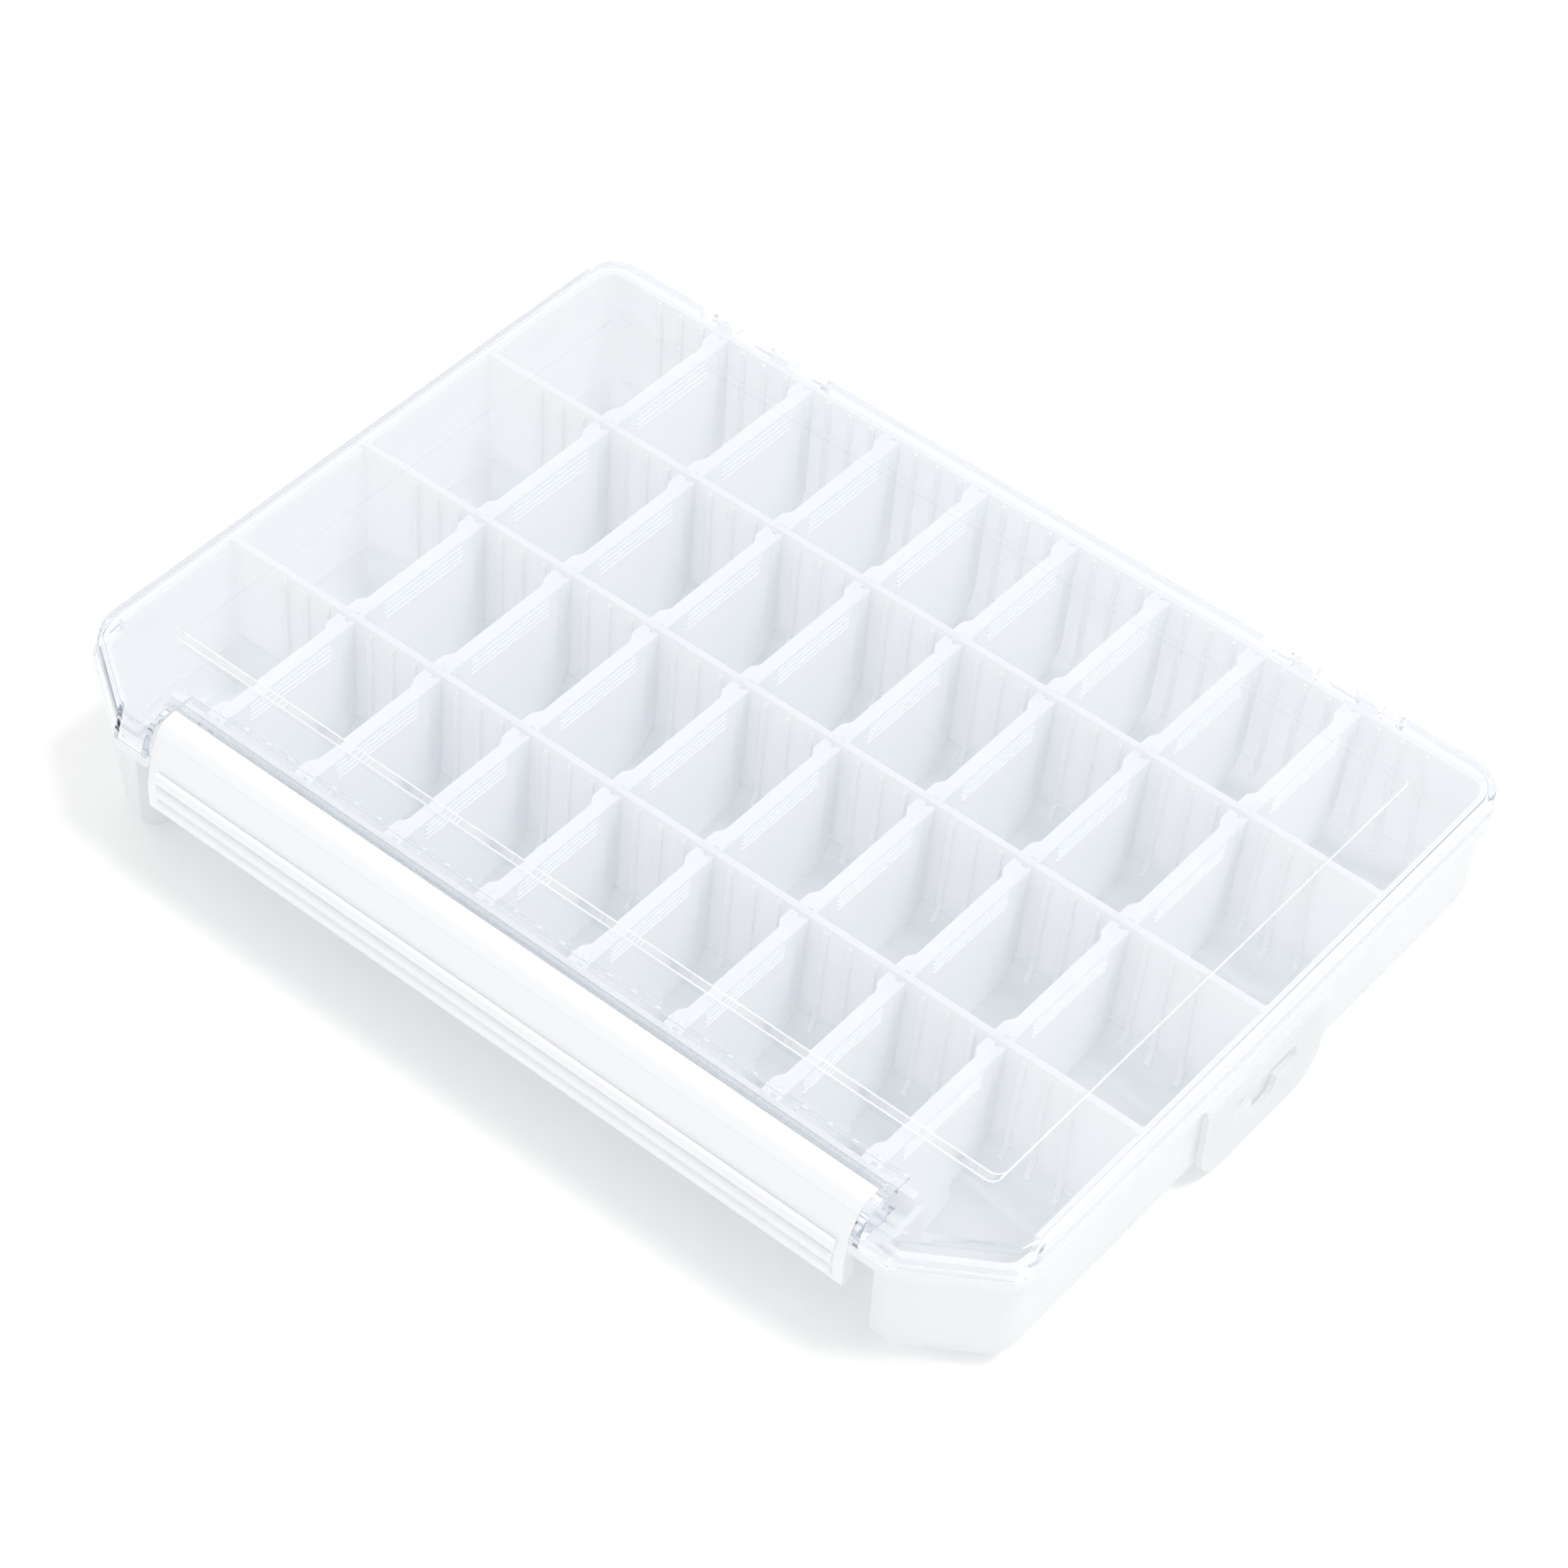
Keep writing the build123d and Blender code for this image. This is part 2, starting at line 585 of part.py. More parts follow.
# Hang tab: a plate with a peg hole, on a film hinge under the tray's ledge
with BuildPart() as hang_tab:
    with BuildSketch(Plane.YZ.offset(TAB_INNER_X)):
        tab_top = FOLD_AXIS[1] - FOLD_GAP
        with Locations((TAB_MID_Y, (TAB_BOTTOM + tab_top) / 2)):
            tab_plate = Rectangle(TAB_WIDTH, tab_top - TAB_BOTTOM)
        fillet(tab_plate.vertices().group_by(Axis.Y)[0], TAB_CORNER_R)
        with Locations((TAB_MID_Y, (PEG_SLOT_BOTTOM + PEG_SLOT_TOP) / 2)):
            SlotOverall(2 * PEG_SLOT_HALF, PEG_SLOT_TOP - PEG_SLOT_BOTTOM, mode=Mode.SUBTRACT)
        with Locations((TAB_MID_Y, PEG_ROUND_Z)):
            Circle(PEG_ROUND_R, mode=Mode.SUBTRACT)
    extrude(amount=TAB_THICKNESS)
    fold_edges = hang_tab.faces().sort_by(Axis.Z)[-1].edges().filter_by(Axis.Y)
    chamfer(fold_edges, TAB_THICKNESS / 2 - FOLD_LAND)
hang_tab.part.label = "hang_tab"
export_step(hang_tab.part, "parts/hang_tab.step")
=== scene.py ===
import bpy
import bmesh
import math
from mathutils import Matrix, Vector


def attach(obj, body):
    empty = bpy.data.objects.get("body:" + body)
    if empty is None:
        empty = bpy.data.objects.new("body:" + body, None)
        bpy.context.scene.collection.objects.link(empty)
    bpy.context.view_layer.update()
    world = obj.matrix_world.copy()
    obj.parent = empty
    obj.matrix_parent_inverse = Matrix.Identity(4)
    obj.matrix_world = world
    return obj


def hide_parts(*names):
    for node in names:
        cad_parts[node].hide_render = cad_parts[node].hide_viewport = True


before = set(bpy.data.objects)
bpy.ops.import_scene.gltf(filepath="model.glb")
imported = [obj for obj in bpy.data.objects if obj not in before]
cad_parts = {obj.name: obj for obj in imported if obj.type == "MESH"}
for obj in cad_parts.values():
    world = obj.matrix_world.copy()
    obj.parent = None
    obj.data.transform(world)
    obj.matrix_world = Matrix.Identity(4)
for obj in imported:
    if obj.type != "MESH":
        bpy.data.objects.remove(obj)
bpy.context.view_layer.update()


# ---------------------------------------------------------------- camera
# A long lens, about 100 mm on a full frame, a metre off the front right corner and 47 degrees up.
# The camera is rolled by 4 degrees, so the box leans a little in the frame.
camera_place = Vector((0.38737, -0.51649, 0.70682))
camera_aim = Vector((0.01386, -0.01526, 0.0400))
camera_roll = math.radians(4.032)
film_width, lens_in_film_widths = 36, 2.786

camera = bpy.data.objects.new("camera", bpy.data.cameras.new("camera"))
bpy.context.scene.collection.objects.link(camera)
back = (camera_place - camera_aim).normalized()
level_right = Vector((0, 0, 1)).cross(back).normalized()
level_up = back.cross(level_right)
right = level_right * math.cos(camera_roll) + level_up * math.sin(camera_roll)
up = level_up * math.cos(camera_roll) - level_right * math.sin(camera_roll)
camera.matrix_world = Matrix((
    (right.x, up.x, back.x, camera_place.x),
    (right.y, up.y, back.y, camera_place.y),
    (right.z, up.z, back.z, camera_place.z),
    (0, 0, 0, 1),
))
camera.data.sensor_width = film_width
camera.data.lens = film_width * lens_in_film_widths
camera.data.clip_start = 0.01
camera.data.clip_end = 100
bpy.context.scene.camera = camera
bpy.context.scene.view_settings.view_transform = "Standard"

# Light turns many times in the clear lid and between the milky walls before it comes out.
bpy.context.scene.cycles.max_bounces = 40
bpy.context.scene.cycles.diffuse_bounces = 28
bpy.context.scene.cycles.glossy_bounces = 12
bpy.context.scene.cycles.transmission_bounces = 28
bpy.context.scene.cycles.transparent_max_bounces = 40


# ---------------------------------------------------------------- studio
# A sheet of white paper under one broad lamp, high up on the right, in an even white room. Past the
# paper and near the horizon the room is dark, and clear edges pick that up as thin grey lines.
def linear(hex_colour):
    """An sRGB hex colour as linear RGBA."""
    parts = [int(hex_colour[i:i + 2], 16) / 255 for i in (0, 2, 4)]
    return tuple(c / 12.92 if c <= 0.04045 else ((c + 0.055) / 1.055) ** 2.4 for c in parts) + (1,)


def add_node(tree, kind, inputs=(), **settings):
    """Adds a node; inputs are (socket, value or source socket) pairs."""
    node = tree.nodes.new(kind)
    for name, value in settings.items():
        setattr(node, name, value)
    for socket, value in dict(inputs).items():
        if isinstance(value, bpy.types.NodeSocket):
            tree.links.new(value, node.inputs[socket])
        else:
            node.inputs[socket].default_value = value
    return node


def new_material(name):
    material = bpy.data.materials.new(name)
    material.use_nodes = True
    material.node_tree.nodes.clear()
    return material, material.node_tree


def new_piece(name, mesh, material=None):
    piece = bpy.data.objects.new(name, mesh)
    bpy.context.scene.collection.objects.link(piece)
    if material:
        mesh.materials.clear()
        mesh.materials.append(material)
    return piece


paper, tree = new_material("white_paper_sheet")
sheet = add_node(tree, "ShaderNodeBsdfDiffuse", {"Color": linear("FFFFFF")})
add_node(tree, "ShaderNodeOutputMaterial", {"Surface": sheet.outputs[0]})
sweep_mesh = bpy.data.meshes.new("sweep")
sweep_size = 0.8
sweep_corners = [(-1, -1), (1, -1), (1, 1), (-1, 1)]
sweep_mesh.from_pydata([(x * sweep_size, y * sweep_size, 0) for x, y in sweep_corners], [], [(0, 1, 2, 3)])
sweep = new_piece("sweep", sweep_mesh, paper)

room = bpy.data.worlds.new("white_room")
bpy.context.scene.world = room
room.use_nodes = True
tree = room.node_tree
tree.nodes.clear()
room_level, seen_level = 0.92, 1.0
dark_level, dark_below, bright_above = 0.1, 0.05, 0.3
direction = add_node(tree, "ShaderNodeTexCoord")
height = add_node(tree, "ShaderNodeSeparateXYZ", {0: direction.outputs["Generated"]})
shade = add_node(tree, "ShaderNodeMapRange", {
    0: height.outputs["Z"], 1: dark_below, 2: bright_above, 3: dark_level, 4: seen_level},
    interpolation_type="SMOOTHSTEP")
light_path = add_node(tree, "ShaderNodeLightPath")
bent = add_node(tree, "ShaderNodeMath", {
    0: light_path.outputs["Is Glossy Ray"], 1: light_path.outputs["Is Transmission Ray"]}, operation="MAXIMUM")
seen = add_node(tree, "ShaderNodeMath", {
    0: bent.outputs[0], 1: light_path.outputs["Is Diffuse Ray"]}, operation="SUBTRACT", use_clamp=True)
plain = add_node(tree, "ShaderNodeMix", {
    0: light_path.outputs["Is Camera Ray"], 2: room_level, 3: seen_level})
level = add_node(tree, "ShaderNodeMix", {0: seen.outputs[0], 2: plain.outputs[0], 3: shade.outputs[0]})
background = add_node(tree, "ShaderNodeBackground", {"Color": linear("FFFFFF"), "Strength": level.outputs[0]})
add_node(tree, "ShaderNodeOutputWorld", {"Surface": background.outputs[0]})

lamp_data = bpy.data.lights.new("window", "SUN")
lamp_data.energy = 0.86
lamp_data.angle = math.radians(18)
lamp = bpy.data.objects.new("window", lamp_data)
bpy.context.scene.collection.objects.link(lamp)
lamp_from = Vector((0.42, 0.27, 1.0))
lamp.rotation_mode = "QUATERNION"
lamp.rotation_quaternion = lamp_from.to_track_quat("Z", "Y")


# ---------------------------------------------------------------- clear lid
# One injection-moulded shell of clear polystyrene, 2 mm thick, with a raised panel, a bay in front for the
# latch, and hinge knuckles on two rods behind. Polished steel tools leave it as smooth as glass.
mm = 0.001
lid_bottom, rim_top, lid_top, panel_top = 31.2, 33.2, 39.4, 40.0
lid_wall, lid_ceiling = 2.0, 37.4
lid_edge_round = 1.5
half_length, rear_y, front_y = 127.5, 91.0, -94.0
corner_cut_x, corner_cut_y = 22.5, 14.9
front_lean, corner_lean = 3.25, 2.2


def rounded(corners, radii, steps=6):
    """A closed outline with each corner rounded; a radius of 0 leaves its corner sharp."""
    points = []
    count = len(corners)
    for i, corner in enumerate(corners):
        here = Vector(corner)
        before = (Vector(corners[i - 1]) - here).normalized()
        after = (Vector(corners[(i + 1) % count]) - here).normalized()
        radius = radii[i] if isinstance(radii, (list, tuple)) else radii
        if radius <= 0:
            points.append(tuple(here))
            continue
        half_angle = before.angle(after) / 2
        centre = here + (before + after).normalized() * (radius / math.sin(half_angle))
        start = here + before * (radius / math.tan(half_angle)) - centre
        end = here + after * (radius / math.tan(half_angle)) - centre
        for step in range(steps + 1):
            t = step / steps
            swing = start.angle(end)
            spoke = (start * math.sin((1 - t) * swing) + end * math.sin(t * swing)) / math.sin(swing)
            points.append(tuple(centre + spoke))
    return points


def finished_mesh(name, points, faces):
    """A mesh in metres from points in millimetres, with its normals out."""
    mesh = bpy.data.meshes.new(name)
    mesh.from_pydata([(x * mm, y * mm, z * mm) for x, y, z in points], [], faces)
    form = bmesh.new()
    form.from_mesh(mesh)
    bmesh.ops.recalc_face_normals(form, faces=form.faces)
    form.to_mesh(mesh)
    form.free()
    return mesh


def prism(name, outline, axis, start, end):
    """An outline pushed along an axis; the outline's two numbers are the other two axes in order."""
    def place(a, b, along):
        return {"x": (along, a, b), "y": (a, along, b), "z": (a, b, along)}[axis]
    count = len(outline)
    points = [place(a, b, start) for a, b in outline] + [place(a, b, end) for a, b in outline]
    faces = [tuple(range(count)), tuple(range(2 * count - 1, count - 1, -1))]
    faces += [(i, (i + 1) % count, count + (i + 1) % count, count + i) for i in range(count)]
    return finished_mesh(name, points, faces)


def loft(name, rings):
    """A closed skin through rings of points, capped at both ends."""
    count = len(rings[0])
    points = [point for ring in rings for point in ring]
    faces = [tuple(range(count)), tuple(range(len(points) - count, len(points)))]
    for level in range(len(rings) - 1):
        low, high = level * count, (level + 1) * count
        faces += [(low + i, low + (i + 1) % count, high + (i + 1) % count, high + i) for i in range(count)]
    return finished_mesh(name, points, faces)


def block(x_range, y_range, z_range):
    return prism("block", [(x_range[0], y_range[0]), (x_range[1], y_range[0]), (x_range[1], y_range[1]),
                           (x_range[0], y_range[1])], "z", *z_range)


def circle(centre, radius, steps=32):
    return [(centre[0] + radius * math.cos(2 * math.pi * i / steps),
             centre[1] + radius * math.sin(2 * math.pi * i / steps)) for i in range(steps)]


def combine(mesh, others, operation):
    """The mesh joined to, cut by or kept inside each of the others in turn."""
    for other in others:
        piece = new_piece("work", mesh)
        tool = new_piece("tool", other)
        step = piece.modifiers.new("step", "BOOLEAN")
        step.operation = operation
        step.solver = "EXACT"
        step.object = tool
        result = bpy.data.meshes.new_from_object(piece.evaluated_get(bpy.context.evaluated_depsgraph_get()))
        bpy.data.objects.remove(piece)
        bpy.data.objects.remove(tool)
        mesh = result
    return mesh


def smooth(mesh, angle=30, merge=0.002):
    """Merges stray points and shades round stretches smooth, leaving edges sharper than angle crisp."""
    form = bmesh.new()
    form.from_mesh(mesh)
    bmesh.ops.remove_doubles(form, verts=form.verts, dist=merge * mm)
    bmesh.ops.dissolve_degenerate(form, edges=form.edges, dist=merge * mm)
    bmesh.ops.delete(form, geom=[edge for edge in form.edges if not edge.link_faces], context="EDGES")
    for face in form.faces:
        face.smooth = True
    for edge in form.edges:
        edge.smooth = edge.is_manifold and edge.calc_face_angle(0) < math.radians(angle)
    form.to_mesh(mesh)
    form.free()
    return mesh


def lid_ring(inset, z, front_r=2.5, cut_r=8.0, rear_r=9.0):
    """The lid's plan at one height: its front and its cut corners lean back above the rim."""
    rise = max(0, (z - rim_top) / (lid_top - rim_top))
    length = math.hypot(corner_cut_x, corner_cut_y)
    across = (corner_cut_y / length, -corner_cut_x / length)
    edge_lines = [
        ((1, 0), half_length - inset),
        ((0, 1), rear_y - inset),
        ((-1, 0), half_length - inset),
        ((-across[0], across[1]), 0),
        ((0, -1), -front_y - inset - front_lean * rise),
        (across, 0),
    ]
    reach = across[0] * half_length + across[1] * (front_y + corner_cut_y) - inset - corner_lean * rise
    edge_lines[3] = (edge_lines[3][0], reach)
    edge_lines[5] = (edge_lines[5][0], reach)
    corners = []
    for (n1, d1), (n2, d2) in zip(edge_lines, edge_lines[1:] + edge_lines[:1]):
        cross = n1[0] * n2[1] - n1[1] * n2[0]
        corners.append(((d1 * n2[1] - d2 * n1[1]) / cross, (n1[0] * d2 - n2[0] * d1) / cross))
    rear, cut, front = (max(0.4, radius - inset) for radius in (rear_r, cut_r, front_r))
    return [(x, y, z) for x, y in rounded(corners, [rear, rear, cut, front, front, cut], 8)]


# The rim stands 0.25 mm proud of the leaning walls above it, and its top corner is eased in two facets.
rim_bevel, rim_shoulder = 0.15, 0.25
rings = [lid_ring(rim_bevel, lid_bottom), lid_ring(0, lid_bottom + rim_bevel),
         lid_ring(0, rim_top - rim_shoulder), lid_ring(0.08, rim_top - 0.06), lid_ring(rim_shoulder, rim_top)]
edge_steps, inner_round, inner_steps = 4, 0.8, 6
for step in range(edge_steps + 1):
    turn = math.radians(90 * step / edge_steps)
    rings.append(lid_ring(rim_shoulder + lid_edge_round * (1 - math.cos(turn)),
                          lid_top - lid_edge_round * (1 - math.sin(turn))))
lid_outside = loft("lid_outside", rings)
rings = [lid_ring(lid_wall, lid_bottom - 1), lid_ring(lid_wall, rim_top),
         lid_ring(lid_wall, lid_ceiling - inner_round)]
for step in range(1, inner_steps + 1):
    turn = math.radians(90 * step / inner_steps)
    rings.append(lid_ring(lid_wall + inner_round * (1 - math.cos(turn)),
                          lid_ceiling - inner_round * (1 - math.sin(turn))))
lid_hollow = loft("lid_hollow", rings)

bay_half, cheek = 95.7, 1.8
bay_wall_y, bay_step_y, bay_shelf_top, bay_shelf = -83.1, -79.4, 38.2, 1.6
far, below, above = 150, -1, 60
step_foot_y, step_lip = -81.7, 0.25
step_profile = [(-far, bay_shelf_top), (step_foot_y, bay_shelf_top), (step_foot_y, bay_shelf_top + 0.1),
                (bay_step_y, lid_top - step_lip), (bay_step_y, above), (-far, above)]
lid_outside = combine(lid_outside, [
    block((-bay_half, bay_half), (-far, bay_wall_y), (below, above)),
    prism("step", step_profile, "x", -bay_half, bay_half),
], "DIFFERENCE")
reach = bay_half + cheek
lid_hollow = combine(lid_hollow, [
    block((-reach, reach), (-far, bay_wall_y + bay_shelf), (below, above)),
    block((-reach, reach), (-far, bay_step_y + bay_shelf), (bay_shelf_top - bay_shelf, above)),
], "DIFFERENCE")

panel_half, panel_front, panel_rear = 111.6, -67.4, 75.4
# The panel's front rises in a shallow slope that starts and ends in a short steep line.
front_slope, slope_line, line_height, panel_corner = 2.1, 0.26, 0.2, 2.5


def panel_ring(inset, front_inset, z):
    half, front, rear = panel_half - inset, panel_front + front_inset, panel_rear - inset
    corners = [(-half, front), (half, front), (half, rear), (-half, rear)]
    return [(x, y, z) for x, y in rounded(corners, panel_corner, 8)]


panel = loft("panel", [
    panel_ring(-0.1, -front_slope, lid_top - 0.5), panel_ring(-0.1, -front_slope, lid_top + 0.01),
    panel_ring(-0.05, slope_line - front_slope, lid_top + line_height),
    panel_ring(0.05, -slope_line, panel_top - line_height), panel_ring(0.1, 0, panel_top)])
lid_mesh = combine(lid_outside, [panel], "UNION")
lid_mesh = combine(lid_mesh, [lid_hollow], "DIFFERENCE")

pivot = (-86.2, 37.3)
pivot_hole_r = 1.28
clip_slot, clip_slot_y = 6.0, 88.6
clip_centres = (73.6, 90.8)
hinge_axis, knuckle_r, rod_r = (91.8, 32.6), 3.2, 1.5
hinge_start, hinge_end, rod_set_back = 62.0, 98.0, 0.5
cuts = [prism("pivot_hole", circle(pivot, pivot_hole_r), "x", -reach, reach)]
for side in (-1, 1):
    for centre in clip_centres:
        cuts.append(block((side * centre - clip_slot / 2, side * centre + clip_slot / 2),
                          (clip_slot_y, far), (below, above)))
lid_mesh = combine(lid_mesh, cuts, "DIFFERENCE")


def arc(centre, radius, start, end, steps=24):
    """Points along part of a circle, between two angles in degrees."""
    angles = [math.radians(start + (end - start) * i / steps) for i in range(steps + 1)]
    return [(centre[0] + radius * math.cos(angle), centre[1] + radius * math.sin(angle)) for angle in angles]


knuckle_outline = arc(hinge_axis, knuckle_r, -200, 40)
knuckle_outline += [(rear_y - 0.1, lid_ceiling), (rear_y - 1, lid_ceiling), (rear_y - 1, lid_bottom + 0.1)]
joins = []
for side in (-1, 1):
    stops = [hinge_start]
    for centre in clip_centres:
        stops += [centre - clip_slot / 2, centre + clip_slot / 2]
    stops += [hinge_end]
    for low, high in zip(stops[::2], stops[1::2]):
        joins.append(prism("knuckle", knuckle_outline, "x", side * low, side * high))
    joins.append(prism("rod", circle(hinge_axis, rod_r, 24), "x",
                       side * (hinge_start + rod_set_back), side * (hinge_end - rod_set_back)))
lid_mesh = smooth(combine(lid_mesh, joins, "UNION"))

# Clear polystyrene, IOR 1.59, tool-polished: sharp reflections and almost no tint of its own. Lamps and
# light scattered inside the box pass straight through it. Rays that have turned in it more than seven times
# pass on tinted blue grey: painted shade, which draws the thin dark lines along its edges.
clear_ps, tree = new_material("clear_polystyrene_polished")
glass = add_node(tree, "ShaderNodeBsdfPrincipled", {
    "Base Color": linear("FBFCFF"), "Roughness": 0.0, "IOR": 1.59, "Transmission Weight": 1.0})
turns_to_tire = 7.0
light_path = add_node(tree, "ShaderNodeLightPath")
soft_light = add_node(tree, "ShaderNodeMath", {
    0: light_path.outputs["Is Shadow Ray"], 1: light_path.outputs["Is Diffuse Ray"]}, operation="MAXIMUM")
tired = add_node(tree, "ShaderNodeMath", {
    0: light_path.outputs["Ray Depth"], 1: turns_to_tire}, operation="GREATER_THAN")
# Painted shade: the blue grey that rays take on after many turns in the lid, for the dark lines along its edges.
painted_edge_shade = add_node(tree, "ShaderNodeBsdfTransparent", {"Color": linear("DCE1E7")})
passing = add_node(tree, "ShaderNodeBsdfTransparent", {"Color": linear("FFFFFF")})
edges = add_node(tree, "ShaderNodeMixShader", {0: tired.outputs[0], 1: glass.outputs[0], 2: painted_edge_shade.outputs[0]})
pane = add_node(tree, "ShaderNodeMixShader", {
    0: soft_light.outputs[0], 1: edges.outputs[0], 2: passing.outputs[0]})
add_node(tree, "ShaderNodeOutputMaterial", {"Surface": pane.outputs[0]})

# Along the front and right of the panel the step's hair's-breadth facets are painted a fine-grained, half-solid
# white: a painted highlight, the thin white line where the light catches the step there.
highlight_line_ps, tree = new_material("clear_polystyrene_painted_highlight_line")
place = add_node(tree, "ShaderNodeTexCoord")
grain_mm = 0.4
grain = add_node(tree, "ShaderNodeTexNoise", {
    "Vector": place.outputs["Object"], "Scale": 1 / (grain_mm * mm), "Detail": 1.0})
tint = add_node(tree, "ShaderNodeMix", {
    0: grain.outputs[0], 6: linear("F6F8F9"), 7: linear("FFFFFF")}, data_type="RGBA")
line = add_node(tree, "ShaderNodeBsdfPrincipled", {
    "Base Color": tint.outputs[2], "Roughness": 0.3, "IOR": 1.59, "Alpha": 0.85})
add_node(tree, "ShaderNodeOutputMaterial", {"Surface": line.outputs[0]})


def paint(mesh, materials, choose):
    """Gives each face the material that choose(centre in mm, normal) picks by number."""
    mesh.materials.clear()
    for material in materials:
        mesh.materials.append(material)
    for face in mesh.polygons:
        face.material_index = choose(Vector(face.center) / mm, Vector(face.normal))
    return mesh


def lid_choice(centre, normal):
    """The panel's step on its front and right sides, which carries the painted highlight, and everything else."""
    on_step = lid_top + 0.005 < centre.z < panel_top - 0.005 and normal.z < 0.95
    return 1 if on_step and (normal.x > 0.3 or normal.y < -0.3) else 0


lid = new_piece("lid_shell", paint(lid_mesh, [clear_ps, highlight_line_ps], lid_choice))
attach(lid, "lid")
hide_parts("lid")


# ---------------------------------------------------------------- tray
# Milky polypropylene, moulded in one piece: four troughs with rounded bottoms, thin partitions, a ledge
# that the lid closes on, and fine upright ribs that hold the dividers.
rows, row_pitch, rows_mid_y = 4, 41.8, 3.8
partition, floor_thickness = 1.6, 1.2
outer_r, inner_r = 9.5, 8.5
front_wall_y, rear_wall_y = -80.9, 88.0
tray_top, upstand_top, partition_top = 31.0, 36.2, 36.9
round_steps = 12


def row_centre(row):
    return rows_mid_y + (row - (rows - 1) / 2) * row_pitch


def trough(low, high, floor, radius, top=above):
    """A trough's section: an upright U with round bottom corners."""
    return rounded([(low, top), (low, floor), (high, floor), (high, top)], [0, radius, radius, 0], round_steps)


def plan_outline(inset):
    return [(x, y) for x, y, z in lid_ring(inset, lid_bottom)]


def round_ended(inset, floor, radius, top):
    """The tray's plan as a solid whose two ends are rounded into the floor."""
    outline = plan_outline(inset)
    rings = []
    for step in range(round_steps + 1):
        turn = math.radians(90 * step / round_steps)
        pull = radius * (1 - math.sin(turn))
        rings.append([(x - math.copysign(pull, x), y, floor + radius * (1 - math.cos(turn))) for x, y in outline])
    lowest = [(x, y, floor - 1) for x, y, z in rings[0]]
    highest = [(x, y, top) for x, y in outline]
    return loft("round_ended", [lowest] + rings + [highest])


bounds_y = [front_wall_y] + [row_centre(row) + row_pitch / 2 for row in range(rows - 1)] + [rear_wall_y]
pod_x, pod_wall, pod_outer_y, pod_inner_y = 101.0, 1.4, -91.9, -89.4
outer_inset, inner_inset = 2.1, 3.8

# Parts that are joined overlap by a few tenths of a millimetre or stand off by a hair, so that no two
# faces coincide.
hair, overlap = 0.01, 0.2
outline = [(front_wall_y, above)]
for row in range(rows):
    bottom = trough(bounds_y[row], bounds_y[row + 1], 0, outer_r)[1:-1]
    outline += bottom if row == 0 else bottom[1:]
outline += [(rear_wall_y, above)]
tray_solid = prism("tray_solid", outline, "x", -half_length, half_length)
pod_outline = trough(pod_outer_y - hair, bounds_y[1] - 1, 0, outer_r)
pods = [prism("pod", pod_outline, "x", side * pod_x, side * half_length) for side in (-1, 1)]
tray_solid = combine(tray_solid, pods, "UNION")
tray_solid = combine(tray_solid, [round_ended(outer_inset, 0, outer_r, tray_top - 2 * overlap)], "INTERSECT")

ledge_bottom, ledge_inset, ledge_front_y = 28.4, 0.2, -86.6
ledge = prism("ledge", plan_outline(ledge_inset), "z", ledge_bottom, tray_top)
relief_y, relief_gap = 88.3, 0.6
ledge_cuts = [block((-bay_half, bay_half), (-far, ledge_front_y), (0, above))]
for side in (-1, 1):
    relief_x = sorted((side * (hinge_start - relief_gap), side * (hinge_end + relief_gap)))
    ledge_cuts.append(block(relief_x, (relief_y, far), (0, above)))
ledge = combine(ledge, ledge_cuts, "DIFFERENCE")
upstand_inset, upstand_front_y = 2.3, -90.6
pod_upstand_y, pod_upstand_top = -72.0, 33.0
upstand = prism("upstand", plan_outline(upstand_inset), "z", tray_top - overlap, upstand_top)
upstand_cuts = [
    block((-far, far), (rear_wall_y, far), (0, above)),
    block((-far, far), (-far, upstand_front_y), (0, above)),
    block((-pod_x, pod_x), (-far, front_wall_y), (0, above)),
]
for side in (-1, 1):
    pod_side = sorted((side * pod_x, side * far))
    upstand_cuts.append(block(pod_side, (-far, pod_upstand_y), (pod_upstand_top, above)))
upstand = combine(upstand, upstand_cuts, "DIFFERENCE")
crest_half_x, crest_half_y = half_length - inner_inset + 0.8, partition / 2 + 0.3
crests = [block((-crest_half_x, crest_half_x), (bounds_y[row] - crest_half_y, bounds_y[row] + crest_half_y),
                (tray_top - 0.3, partition_top)) for row in range(1, rows)]
tray_solid = combine(tray_solid, [ledge, upstand] + crests, "UNION")

half_row = (row_pitch - partition) / 2
hollows = []
for row in range(rows):
    centre = row_centre(row)
    hollow = prism("hollow", trough(centre - half_row, centre + half_row, floor_thickness, inner_r), "x",
                   -half_length, half_length)
    if row == 0:
        pod_outline = trough(pod_inner_y, centre + half_row, floor_thickness, inner_r)
        hollow = combine(hollow, [prism("pod_hollow", pod_outline, "x", side * (pod_x + pod_wall), side * half_length)
                                  for side in (-1, 1)], "UNION")
    ends = round_ended(inner_inset, floor_thickness, inner_r, above + 1)
    hollows.append(combine(hollow, [ends], "INTERSECT"))
tray_mesh = combine(tray_solid, hollows, "DIFFERENCE")

fold_x, fold_z, fold_gap = 126.7, 24.7, 0.2
tab_mid_y, tab_width = 4.5, 42.6
rail_x, rail_out_x, rail_top = half_length - outer_inset - overlap, half_length - 0.2, ledge_bottom + overlap
rail = prism("rail", [
    (rail_x, rail_top), (rail_out_x, rail_top), (rail_out_x, fold_z + fold_gap + rail_out_x - fold_x),
    (fold_x, fold_z + fold_gap), (rail_x, fold_z + fold_gap + fold_x - rail_x)], "y",
    tab_mid_y - tab_width / 2, tab_mid_y + tab_width / 2)
clip_r, clip_stem, clip_width = 2.8, 3.6, 5.4
clip_hole = rod_r + 0.08
mouth = 100
clip_outline = arc(hinge_axis, clip_r, mouth, 360) + arc(hinge_axis, clip_hole, 360, mouth)
stem_root_y, stem_end_y = rear_wall_y - overlap, hinge_axis[0] - 2.2
